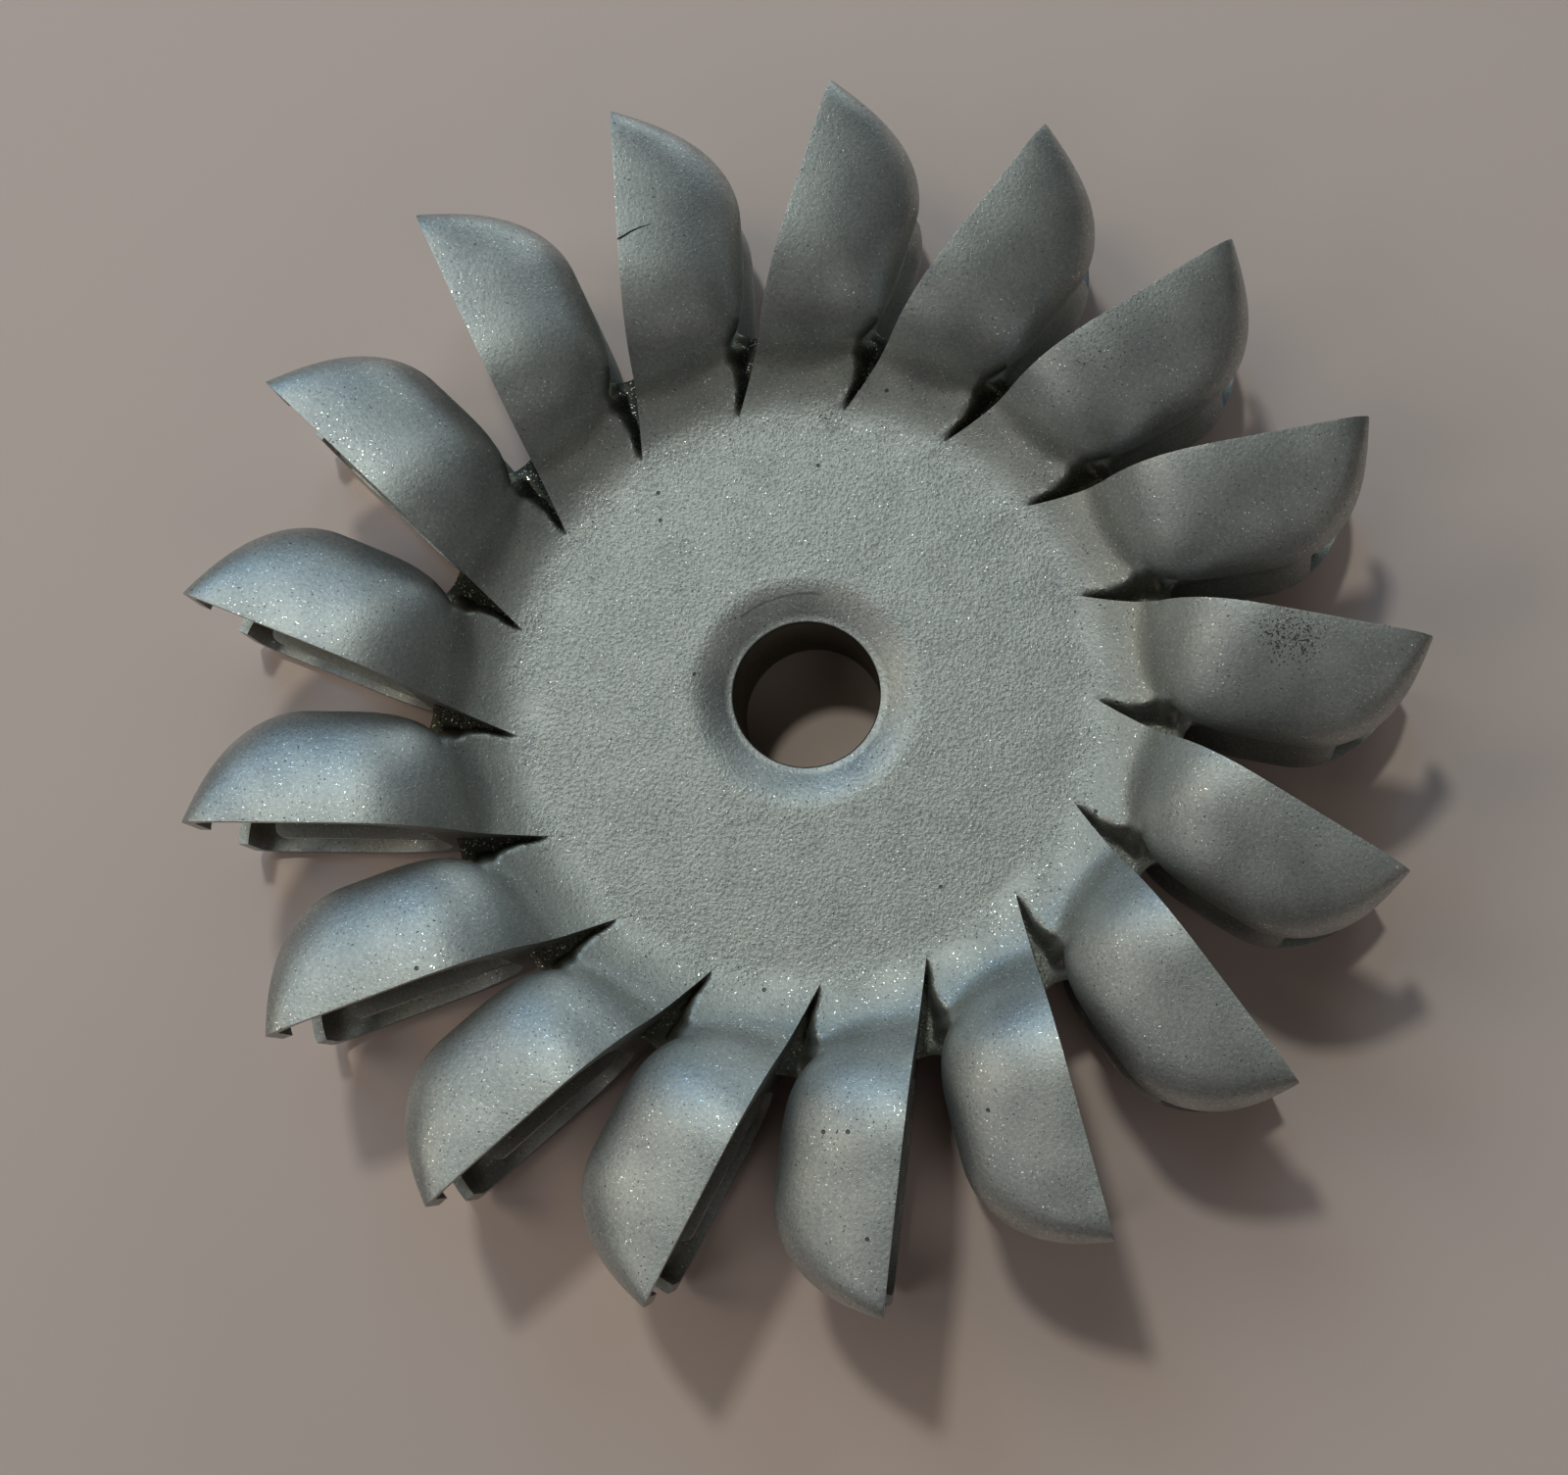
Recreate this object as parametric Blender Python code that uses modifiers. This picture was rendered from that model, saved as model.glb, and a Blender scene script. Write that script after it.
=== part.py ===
"""Pelton wheel: a small one-piece bronze runner with seventeen twin-cup buckets.

The wheel lies flat. Its axis is Z and the buckets are alike above and below Z = 0. The hub is
not: its upper face is dished round the bore, and a boss stands on its lower face.
Metres, +Z up. Buckets are numbered clockwise as seen from +Z; bucket_01 points along +Y.

Every bucket is drawn once in its own frame: X runs outward along the bucket, Y is square to
the open face (the open face lies at Y = FACE_OFFSET), and Z is the wheel's axis.
"""
import math

import bmesh
import bpy
from mathutils import Matrix

MM = 0.001

# the wheel
BUCKETS = 17
PITCH = 2 * math.pi / BUCKETS
TIP_RADIUS = 65.0 * MM
FACE_OFFSET = 15.85 * MM          # how far each open face passes from the axis
TIP_REACH = math.sqrt(TIP_RADIUS ** 2 - FACE_OFFSET ** 2)
GAP = 0.3 * MM                    # left between pieces that meet

# the hub disc
BORE_RADIUS = 7.85 * MM
BORE_CHAMFER = 0.4 * MM
LAND_RADIUS = 8.6 * MM            # a narrow flat ring round the bore, at the foot of the dish
LAND_HEIGHT = 1.6 * MM
DISH_RADIUS = 12.6 * MM           # the dish runs out into the flat disc here
DISC_HALF = 3.2 * MM
DISC_FLAT_RADIUS = 27.0 * MM
DISC_RADIUS = 30.0 * MM
DISC_RIM_HALF = 3.0 * MM
TURN_STEPS = BUCKETS * 6

# the boss on the lower face
BOSS_RADIUS = 10.4 * MM
BOSS_FOOT = 11.8 * MM
BOSS_END = 13.6 * MM              # its end lies this far below the middle plane

# the bucket's outer form
HALF_WIDTH = 14.0 * MM            # half of the bucket's width across both cups
TIP_HALF_WIDTH = 12.5 * MM        # the same at the very tip, where the corner is rounded
TIP_CORNER = 3.5 * MM
DEEPEST_REACH = 52.0 * MM         # where the cups are deepest
DEPTH = 12.65 * MM                # open face to back, at the deepest place
VALLEY = 0.16                     # share of the depth that the groove between the cups takes
DOME_START = 44.0 * MM            # the cups' sides are straight out from here
DOME_END = 36.5 * MM              # and round off to the neck here
NECK_HALF = 4.6 * MM
ROOT_HALF = 3.1 * MM
ROOT_REACH = 31.0 * MM
ROOT_START = 22.0 * MM
NECK_MIDDLE_REACH = 33.7 * MM
NECK_DEPTH = 10.0 * MM
OUTER_STEPS = 4                   # points in a quarter of the outer form's cut

# the cups and the notch
WALL = 1.1 * MM
RIDGE_HALF = 0.45 * MM            # half of the splitter's thickness along its edge
CUP_ROOT_REACH = 38.2 * MM
NOTCH_HALF = 6.4 * MM
NOSE_REACH = 56.9 * MM
CUP_STEPS = 7                     # points round a cup's cut

# the web that joins a bucket's back to the next bucket
WEB_HALF = 1.3 * MM
WEB_RADIUS = 40.4 * MM

BRONZE = (0.44, 0.43, 0.34)


def clear_scene():
    """Remove what Blender opens with."""
    for thing in list(bpy.data.objects):
        bpy.data.objects.remove(thing, do_unlink=True)


def collection(name):
    """A new collection under the scene."""
    group = bpy.data.collections.new(name)
    bpy.context.scene.collection.children.link(group)
    return group


def bronze(name, shade):
    """Blasted bronze for one sub-part, a little lighter or darker than its neighbour."""
    material = bpy.data.materials.new(name)
    material.use_nodes = True
    shader = material.node_tree.nodes["Principled BSDF"]
    shader.inputs["Base Color"].default_value = [c * shade for c in BRONZE] + [1.0]
    shader.inputs["Roughness"].default_value = 0.5
    shader.inputs["Metallic"].default_value = 0.8
    return material


def mesh_object(name, mesh, group):
    """Wrap a mesh in an object and put it in its collection."""
    thing = bpy.data.objects.new(name, mesh)
    group.objects.link(thing)
    return thing


def hide_cutter(thing):
    """Mark a shape as a cutter."""
    thing.display_type = "WIRE"
    thing.hide_render = True


def ease(start, end, share):
    """Go from start to end with a soft beginning and end."""
    share = min(max(share, 0.0), 1.0)
    return start + (end - start) * share * share * (3 - 2 * share)


def quarter(share):
    """Height of a quarter circle: 1 at share 0, 0 at share 1."""
    return math.sqrt(max(0.0, 1.0 - share * share))


def neighbour_limit(reach):
    """Lowest Y that a bucket may reach before it meets the next bucket's open face."""
    return (FACE_OFFSET + GAP - math.sin(PITCH) * reach) / math.cos(PITCH)


def half_width(reach):
    """Half of the outer form's width along the axis."""
    if reach > TIP_REACH - TIP_CORNER:
        share = (reach - TIP_REACH + TIP_CORNER) / TIP_CORNER
        return TIP_HALF_WIDTH + (HALF_WIDTH - TIP_HALF_WIDTH) * quarter(share)
    if reach > DOME_START:
        return HALF_WIDTH
    if reach > DOME_END:
        share = (DOME_START - reach) / (DOME_START - DOME_END)
        return NECK_HALF + (HALF_WIDTH - NECK_HALF) * quarter(share)
    return ease(ROOT_HALF, NECK_HALF, (reach - ROOT_REACH) / (DOME_END - ROOT_REACH))


def depth(reach):
    """Depth of the outer form behind the open face."""
    if reach > DEEPEST_REACH:
        share = (reach - DEEPEST_REACH) / (TIP_REACH - DEEPEST_REACH)
        return DEPTH * quarter(share)
    if reach > DOME_END:
        share = (reach - DOME_END) / (DEEPEST_REACH - DOME_END)
        return NECK_DEPTH + (DEPTH - NECK_DEPTH) * math.sin(share * math.pi / 2)
    room = FACE_OFFSET - neighbour_limit(reach)
    return min(room, ease(room, NECK_DEPTH, (reach - ROOT_REACH) / (DOME_END - ROOT_REACH)))


def outer_section(reach, points):
    """The outer form's cut across the bucket: from the +Z rim round the back to the -Z rim.

    The form is fuller at the neck, where it is a plain block with round corners, and has two
    lobes with a groove between them where it carries the cups.
    """
    width = half_width(reach)
    deep = depth(reach)
    lobes = min(max((reach - DOME_END) / (DOME_START - DOME_END), 0.0), 1.0)
    power = 2.0 / (2.0 + 3.0 * (1.0 - lobes))
    middle = width * (0.36 + 0.14 * lobes)
    section = []
    for step in range(points + 1):
        turn = math.pi / 2 * step / points
        across = middle + (width - middle) * max(math.cos(turn), 0.0) ** power
        down = deep * math.sin(turn) ** power
        section.append((FACE_OFFSET - down, across))
    for share in (0.5, 1.0):
        groove = VALLEY * lobes * share * share * (3 - 2 * share)
        section.append((FACE_OFFSET - deep * (1 - groove), middle * (1 - share)))
    mirrored = [(y, -z) for y, z in reversed(section[:-1])]
    return section + mirrored


def loft(name, sections):
    """Join equal rows of points into one closed skin.

    sections is a list of (x, [(y, z), ...]). Each row is closed from its last point back to
    its first, which makes the flat lid; the first and last rows are capped.
    """
    shape = bmesh.new()
    rows = [[shape.verts.new((x, y, z)) for y, z in row] for x, row in sections]
    for near, far in zip(rows, rows[1:]):
        for i in range(len(near)):
            j = (i + 1) % len(near)
            shape.faces.new((near[i], near[j], far[j], far[i]))
    shape.faces.new(list(reversed(rows[0])))
    shape.faces.new(rows[-1])
    bmesh.ops.recalc_face_normals(shape, faces=shape.faces)
    mesh = bpy.data.meshes.new(name)
    shape.to_mesh(mesh)
    shape.free()
    return mesh


def outer_reaches():
    """Places along the bucket where the outer form is cut: closer together where it turns."""
    root = [ROOT_START, ROOT_REACH, NECK_MIDDLE_REACH]
    dome = [DOME_START - (DOME_START - DOME_END) * math.sin(math.radians(a))
            for a in (90, 70, 48, 22)]
    tip = [DEEPEST_REACH + (TIP_REACH - DEEPEST_REACH) * math.sin(math.radians(a))
           for a in (-12, 22, 44, 62, 77, 88)]
    return root + dome + tip


def outer_form(group):
    """The bucket's solid outer form, before anything is cut from it."""
    sections = [(reach, outer_section(reach, OUTER_STEPS)) for reach in outer_reaches()]
    return mesh_object("bucket_form", loft("bucket_form", sections), group)


def cup_section(reach_share, side_reach, sign):
    """One cup's cut at a share (0 to 1) of the way from its deepest place to its end."""
    top = FACE_OFFSET + 2 * MM
    level = quarter(reach_share)
    floor = (DEPTH - WALL) * level
    outer_edge = HALF_WIDTH - WALL
    if side_reach > TIP_REACH - TIP_CORNER - WALL:
        share = (side_reach - TIP_REACH + TIP_CORNER + WALL) / TIP_CORNER
        outer_edge = TIP_HALF_WIDTH - WALL + (HALF_WIDTH - TIP_HALF_WIDTH) * quarter(share)
    if side_reach < DOME_START:
        share = (DOME_START - side_reach) / (DOME_START - CUP_ROOT_REACH)
        outer_edge = NECK_HALF + 1.0 * MM + (outer_edge - NECK_HALF - 1.0 * MM) * quarter(share)
    middle = 0.5 * (outer_edge + RIDGE_HALF)
    spread = 0.5 * (outer_edge - RIDGE_HALF)
    row = [(top, sign * outer_edge)]
    for step in range(CUP_STEPS + 1):
        turn = math.pi * step / CUP_STEPS
        row.append((FACE_OFFSET - floor * math.sin(turn), sign * (middle + spread * math.cos(turn))))
    row.append((top, sign * RIDGE_HALF))
    return row


def cup_cutter(name, sign, group):
    """The hollow of one cup, standing a little proud of the open face."""
    root_run = DEEPEST_REACH - CUP_ROOT_REACH
    tip_run = TIP_REACH - WALL - DEEPEST_REACH
    sections = []
    for angle in (88, 62, 34):
        share = math.sin(math.radians(angle))
        reach = DEEPEST_REACH - root_run * share
        sections.append((reach, cup_section(share ** 1.6, reach, sign)))
    for angle in (0, 30, 54, 73, 88):
        share = math.sin(math.radians(angle))
        reach = DEEPEST_REACH + tip_run * share
        sections.append((reach, cup_section(share, reach, sign)))
    cutter = mesh_object(name, loft(name, sections), group)
    hide_cutter(cutter)
    return cutter


def box(name, low, high, group):
    """A block between two corners."""
    shape = bmesh.new()
    bmesh.ops.create_cube(shape, size=1.0)
    for vert in shape.verts:
        vert.co = [low[i] + (vert.co[i] + 0.5) * (high[i] - low[i]) for i in range(3)]
    mesh = bpy.data.meshes.new(name)
    shape.to_mesh(mesh)
    shape.free()
    return mesh_object(name, mesh, group)


def web(group):
    """The thin plate on the middle plane that reaches from the back to the next bucket."""
    corners = [
        (ROOT_REACH - 3 * MM, FACE_OFFSET - 4 * MM),
        (ROOT_REACH - 3 * MM, neighbour_limit(ROOT_REACH - 3 * MM)),
        (WEB_RADIUS, neighbour_limit(WEB_RADIUS)),
        (WEB_RADIUS + 1.2 * MM, FACE_OFFSET - DEPTH + 3.4 * MM),
    ]
    shape = bmesh.new()
    base = [shape.verts.new((x, y, -WEB_HALF)) for x, y in corners]
    face = shape.faces.new(base)
    grown = bmesh.ops.extrude_face_region(shape, geom=[face])
    top = [part for part in grown["geom"] if isinstance(part, bmesh.types.BMVert)]
    bmesh.ops.translate(shape, verts=top, vec=(0, 0, 2 * WEB_HALF))
    bmesh.ops.recalc_face_normals(shape, faces=shape.faces)
    mesh = bpy.data.meshes.new("web")
    shape.to_mesh(mesh)
    shape.free()
    plate = mesh_object("web", mesh, group)
    hide_cutter(plate)
    return plate


def hub_cutter(group):
    """The round seat that the roots are cut back to, so that they stand clear of the disc."""
    shape = bmesh.new()
    radius = DISC_RADIUS + GAP
    bmesh.ops.create_cone(shape, cap_ends=True, segments=TURN_STEPS, radius1=radius,
                          radius2=radius, depth=4 * HALF_WIDTH)
    mesh = bpy.data.meshes.new("hub_seat")
    shape.to_mesh(mesh)
    shape.free()
    cutter = mesh_object("hub_seat", mesh, group)
    hide_cutter(cutter)
    return cutter


def boolean(thing, other, operation):
    """Add or cut a shape with the exact solver."""
    modifier = thing.modifiers.new(other.name, "BOOLEAN")
    modifier.operation = operation
    modifier.solver = "EXACT"
    modifier.object = other


def bucket_mesh(cutters):
    """One finished bucket as a mesh in its own frame, shared by all seventeen."""
    form = outer_form(cutters)
    boolean(form, web(cutters), "UNION")
    for name, sign in (("cup_above", 1), ("cup_below", -1)):
        boolean(form, cup_cutter(name, sign, cutters), "DIFFERENCE")
    notch = box("notch", (NOSE_REACH, -5 * MM, -NOTCH_HALF),
                (TIP_REACH + 4 * MM, FACE_OFFSET + 4 * MM, NOTCH_HALF), cutters)
    hide_cutter(notch)
    boolean(form, notch, "DIFFERENCE")
    boolean(form, hub_cutter(cutters), "DIFFERENCE")
    bpy.context.view_layer.update()
    ready = form.evaluated_get(bpy.context.evaluated_depsgraph_get())
    mesh = bpy.data.meshes.new_from_object(ready)
    mesh.name = "bucket"
    bpy.data.objects.remove(form, do_unlink=True)
    mesh.set_sharp_from_angle(angle=math.radians(35))
    return mesh


def disc_profile():
    """The hub disc's outline in the X, Z plane: down the outside, then up the bore."""
    return [
        (BORE_RADIUS + BORE_CHAMFER, LAND_HEIGHT),
        (LAND_RADIUS, LAND_HEIGHT),
        (DISH_RADIUS - 1.4 * MM, DISC_HALF - 0.3 * MM),
        (DISH_RADIUS, DISC_HALF),
        (DISC_FLAT_RADIUS, DISC_HALF),
        (DISC_RADIUS, DISC_RIM_HALF),
        (DISC_RADIUS, -DISC_RIM_HALF),
        (DISC_FLAT_RADIUS, -DISC_HALF),
        (BORE_RADIUS, -DISC_HALF),
        (BORE_RADIUS, LAND_HEIGHT - BORE_CHAMFER),
    ]


def boss_profile():
    """The boss's outline: a short tube with a flared foot, from the disc down."""
    top = -DISC_HALF - GAP
    return [
        (BORE_RADIUS, top),
        (BOSS_FOOT, top),
        (BOSS_FOOT - 0.9 * MM, top - 0.6 * MM),
        (BOSS_RADIUS, top - 1.8 * MM),
        (BOSS_RADIUS, -BOSS_END + 0.5 * MM),
        (BOSS_RADIUS - 0.5 * MM, -BOSS_END),
        (BORE_RADIUS + BORE_CHAMFER, -BOSS_END),
        (BORE_RADIUS, -BOSS_END + BORE_CHAMFER),
    ]


def turned(name, outline, group):
    """A solid made by turning an outline round the axis."""
    shape = bmesh.new()
    points = [shape.verts.new((x, 0, z)) for x, z in outline]
    for start, end in zip(points, points[1:] + points[:1]):
        shape.edges.new((start, end))
    mesh = bpy.data.meshes.new(name)
    shape.to_mesh(mesh)
    shape.free()
    solid = mesh_object(name, mesh, group)
    turn = solid.modifiers.new("turn", "SCREW")
    turn.angle = 2 * math.pi
    turn.steps = TURN_STEPS
    turn.render_steps = TURN_STEPS
    turn.use_merge_vertices = True
    turn.merge_threshold = 0.00001
    solid.data.materials.append(bronze(name.replace("_", " ") + " bronze", 1.0))


def main():
    clear_scene()
    wheel = collection("pelton_wheel")
    cutters = collection("cutters")
    turned("hub_disc", disc_profile(), wheel)
    turned("hub_boss", boss_profile(), wheel)
    shared = bucket_mesh(cutters)
    shared.materials.append(bronze("bucket bronze", 0.92))
    for number in range(1, BUCKETS + 1):
        bucket = mesh_object(f"bucket_{number:02d}", shared, wheel)
        angle = math.pi / 2 - (number - 1) * PITCH
        bucket.matrix_world = Matrix.Rotation(angle, 4, "Z")


main()
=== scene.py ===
# %% [markdown]
# # A cast bronze water wheel
#
# This lesson dresses the runner of a small water turbine. The runner is one bronze casting: a disc
# with a dished bore, and seventeen twin cups round it. The solids of the CAD model come in first.
# They are the frame that every piece below is measured from, so nothing here is placed by eye.

import math

import bmesh
import bpy
import numpy as np
from mathutils import Matrix, Vector
from mathutils.bvhtree import BVHTree
from mathutils.noise import noise as noise_at


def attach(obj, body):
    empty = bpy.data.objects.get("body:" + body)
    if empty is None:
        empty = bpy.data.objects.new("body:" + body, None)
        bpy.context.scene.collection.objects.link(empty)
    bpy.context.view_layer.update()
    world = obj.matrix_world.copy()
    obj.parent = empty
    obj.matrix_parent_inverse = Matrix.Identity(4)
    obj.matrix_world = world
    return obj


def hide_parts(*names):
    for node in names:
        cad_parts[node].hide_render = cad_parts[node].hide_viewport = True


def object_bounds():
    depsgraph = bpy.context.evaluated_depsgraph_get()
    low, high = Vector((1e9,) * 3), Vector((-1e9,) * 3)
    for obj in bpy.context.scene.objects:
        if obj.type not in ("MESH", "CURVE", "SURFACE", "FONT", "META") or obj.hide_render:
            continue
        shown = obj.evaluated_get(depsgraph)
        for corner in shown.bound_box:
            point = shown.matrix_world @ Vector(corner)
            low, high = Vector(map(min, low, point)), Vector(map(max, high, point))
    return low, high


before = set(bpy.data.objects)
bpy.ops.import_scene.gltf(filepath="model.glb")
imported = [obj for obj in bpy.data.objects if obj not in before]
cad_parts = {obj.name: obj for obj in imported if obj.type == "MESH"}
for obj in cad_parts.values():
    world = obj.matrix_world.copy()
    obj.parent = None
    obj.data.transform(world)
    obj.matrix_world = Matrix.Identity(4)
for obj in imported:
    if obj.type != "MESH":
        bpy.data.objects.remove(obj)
cad_low, cad_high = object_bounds()
MM = 0.001
BUCKETS = sum(name.startswith("bucket_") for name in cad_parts)
PITCH = 2 * math.pi / BUCKETS
print("buckets", BUCKETS, "CAD box", [round(x, 4) for x in (*cad_low, *cad_high)])

# %% [markdown]
# ## The camera
#
# The photograph looks down on the wheel from a little over a quarter of a metre, tilted towards
# the lower right. A camera is a place, a turn and a lens. The turn is given here as a matrix whose
# rows say where the picture's right, down and away point in the wheel's frame. The photograph is
# slightly cropped, which is what the two small shifts are for.

# %% Camera
PHOTO_WIDTH, PHOTO_HEIGHT = 1600, 1505
FOCAL_PIXELS = 2431.2
CENTRE_PIXELS = (923.1, 737.5)
TURN_AXIS = Vector((2.9479, 0.4322, -0.0830))
AWAY = Vector((-10.48, -2.78, 256.99)) * MM


def photo_camera():
    """The camera that took the photograph, from its turn, its place and its lens in pixels."""
    turn = Matrix.Rotation(TURN_AXIS.length, 3, TURN_AXIS.normalized())
    data = bpy.data.cameras.new("photo camera")
    data.sensor_width = 36
    data.lens = FOCAL_PIXELS / PHOTO_WIDTH * data.sensor_width
    data.shift_x = (PHOTO_WIDTH / 2 - CENTRE_PIXELS[0]) / PHOTO_WIDTH
    data.shift_y = (CENTRE_PIXELS[1] - PHOTO_HEIGHT / 2) / PHOTO_WIDTH
    camera = bpy.data.objects.new("photo camera", data)
    flip = Matrix(((1, 0, 0), (0, -1, 0), (0, 0, -1)))
    camera.matrix_world = (turn.transposed() @ flip).to_4x4()
    camera.location = -(turn.transposed() @ AWAY)
    bpy.context.collection.objects.link(camera)
    bpy.context.scene.camera = camera
    return camera


camera = photo_camera()
print("camera at", [round(x, 4) for x in camera.location], "lens", round(camera.data.lens, 1))

# %% [markdown]
# ## Drawing one bucket
#
# All seventeen buckets came out of one pattern, so one is drawn and the rest are turned copies.
# It is drawn in its own frame, in millimetres: X runs out along the bucket, Y is square to its
# open face, Z is the wheel's axis. A real pattern has no sharp inner corners, because molten metal
# hates them. That is hard to get by joining tubes and plates. It is easy with a distance field:
# every form says how far a point is from its skin, and the smallest answer joins two forms, with
# a soft minimum giving the fillet between them.

# %% Sizes of one bucket, in millimetres
FACE = 15.85                      # the open face passes this far from the axis
TIP = math.sqrt(65 ** 2 - FACE ** 2)
HALF_WIDTH, TIP_HALF_WIDTH, TIP_CORNER = 14.0, 12.5, 3.5
DEEPEST, DEPTH = 52.0, 12.65
DOME_START, DOME_END = 47.5, 33.2
LIP_CLEAR = 0.02                  # keeps the skin just inside the CAD box
print("a bucket reaches", round(TIP, 2), "mm along its open face")


# %% How wide and how deep the cups are along the bucket
def quarter(share):
    """Height of a quarter circle: 1 at share 0, 0 at share 1."""
    return math.sqrt(max(0.0, 1 - share * share))


def half_width(reach):
    """Half of the cups' width: straight sides, a rounded root end, and a rounded tip corner."""
    if reach > TIP - TIP_CORNER:
        drop = quarter((reach - TIP + TIP_CORNER) / TIP_CORNER)
        return TIP_HALF_WIDTH + (HALF_WIDTH - TIP_HALF_WIDTH) * drop
    if reach > DOME_START:
        return HALF_WIDTH
    share = (DOME_START - reach) / (DOME_START - DOME_END)
    return HALF_WIDTH * quarter(share ** 1.2)


def depth(reach):
    """How far the back lies behind the open face: deepest at 52 mm, round at both ends."""
    if reach > DEEPEST:
        return DEPTH * quarter((reach - DEEPEST) / (TIP - DEEPEST))
    return DEPTH * (1 - ((DEEPEST - reach) / (DEEPEST - DOME_END + 0.3)) ** 5)


# %% The outer form of the cups: a row of cuts, joined
VALLEY = 0.16                     # share of the depth that the groove between the cups takes
ABOVE = 3.0                       # the form is drawn past the open face, and cut there later
RIM_TURN = math.radians(14)       # a lobe already slopes this far round its curve at the rim


def cup_back_cut(reach, points):
    """One cut across both cups: up from the +Z rim, round two lobes, to the -Z rim."""
    width, deep = half_width(reach) - LIP_CLEAR, depth(reach) - LIP_CLEAR
    middle = width * 0.5
    past = deep * math.sin(RIM_TURN) / (1 - math.sin(RIM_TURN))
    cut = [(FACE + ABOVE, width)]
    for step in range(points + 1):
        turn = RIM_TURN + (math.pi / 2 - RIM_TURN) * step / points
        cut.append((FACE + past - (deep + past) * math.sin(turn),
                    middle + (width - middle) * math.cos(turn) / math.cos(RIM_TURN)))
    for step in range(1, 7):
        share = step / 6
        groove = VALLEY * share * share * (3 - 2 * share)
        cut.append((FACE - deep * (1 - groove), middle * (1 - share)))
    return cut + [(y, -z) for y, z in reversed(cut[:-1])]


def joined(cuts):
    """A closed skin through rows of points that are all equally long: (points, faces)."""
    rows, length = len(cuts), len(cuts[0][1])
    points = [(x, y, z) for x, row in cuts for y, z in row]
    faces = []
    for row in range(rows - 1):
        for i in range(length):
            j = (i + 1) % length
            a, b = row * length, (row + 1) * length
            faces.append((a + i, a + j, b + j, b + i))
    faces.append(tuple(reversed(range(length))))
    faces.append(tuple(range((rows - 1) * length, rows * length)))
    return points, faces


def arc_places(start, end, first, last, count):
    """Places from start towards end, closer together where a quarter circle gets steep."""
    angles = np.radians(np.linspace(first, last, count))
    return [start + (end - start) * math.sin(a) for a in angles]


dome_places = sorted(arc_places(DOME_START, DOME_END, 6, 88.5, 20)
                     + arc_places(DEEPEST, TIP - LIP_CLEAR, -38, 89, 32))
outer_cups = joined([(x, cup_back_cut(x, 24)) for x in dome_places])
print("outer form", len(outer_cups[0]), "points")

# %% Sizes of the root, in millimetres
DISC_HALF = 3.2                   # half of the disc's thickness
HUB_EDGE = 27.5                   # the turned hub ends here and the buckets' sectors begin
WEB_HALF, WEB_RADIUS = 1.25, 40.4
SLOT_END = 31.4                   # radius where the slots run out into the disc
EDGE_RADII = (31.2, 34.3, 36.1, 37.2, 40.6)
EDGE_GAPS = (0.05, 0.45, 0.9, 1.4, 1.9)
EDGE_RISES = (0.4, 0.8, 1.2, 1.8, 2.0)
BEAD = 0.2                        # the flash left along the web's free edge
FLARE_START, FLARE_END, FLARE = 28.5, 38.0, 2.8
WEB_CORNER = 4.0                  # the rounding between the web's end and the bucket's back
NECK_FILLET = 0.6
print("the web is", 2 * WEB_HALF, "mm thick and ends at radius", WEB_RADIUS)


# %% Distance fields
def soft_min(a, b, fillet):
    """The smaller of two distances, with a fillet of about that many millimetres."""
    mix = np.clip(0.5 + 0.5 * (b - a) / fillet, 0, 1)
    return b + (a - b) * mix - fillet * mix * (1 - mix)


def smooth_step(x, low, high):
    """0 below low, 1 above high, soft in between, for a whole array."""
    share = np.clip((x - low) / (high - low), 0, 1)
    return share * share * (3 - 2 * share)


def skin_distance(points, tree):
    """Signed distance from each point to a closed skin: below zero is inside."""
    found = np.empty(len(points))
    for i, point in enumerate(points):
        place, normal, _, far = tree.find_nearest(point)
        outside = (Vector(point) - place).dot(normal) > 0
        found[i] = far if outside else -far
    return found


def slot_distance(x, y):
    """How far a point lies from the next bucket's open face."""
    return y * math.cos(PITCH) + x * math.sin(PITCH) - FACE


def root_height(x, y):
    """Half thickness of the root: the disc flares towards its cup, and drops to a thin web.

    The web runs along the next bucket's open face. The drop down to it starts as a hair at the
    end of the slot and gets wider on its way out.
    """
    radius, from_slot = np.hypot(x, y), slot_distance(x, y)
    flare = np.clip((radius - FLARE_START) / (FLARE_END - FLARE_START), 0, 1)
    neck = DISC_HALF + FLARE * flare * flare
    neck = neck + (WEB_HALF - neck) * smooth_step(radius, 38.0, 40.2)
    rough = 0.6 + 0.25 * np.sin(radius * 7.3) + 0.15 * np.sin(radius * 17.1 + 1)
    web = WEB_HALF + BEAD * rough * np.exp(-(from_slot / 0.5) ** 2)
    web = neck + (web - neck) * smooth_step(radius, SLOT_END - 0.8, SLOT_END + 2.0)
    edge = np.interp(radius, EDGE_RADII, EDGE_GAPS)
    rise = np.interp(radius, EDGE_RADII, EDGE_RISES)
    return web + (neck - web) * smooth_step(from_slot, edge - 0.2, edge + rise)


def casting_distance(points, cups):
    """Distance to the whole outer skin: the cups and the root, with a fillet between them."""
    x, y, z = points.T
    radius = np.hypot(x, y)
    end = soft_min(radius - WEB_RADIUS, cups, WEB_CORNER)
    root = np.maximum(np.abs(z) - root_height(x, y), end)
    neck = smooth_step(slot_distance(x, y), 1.0, 6.0) * smooth_step(x, 42, 36)
    return soft_min(root, cups, 1.2 + NECK_FILLET * neck)


print("fields ready")


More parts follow.
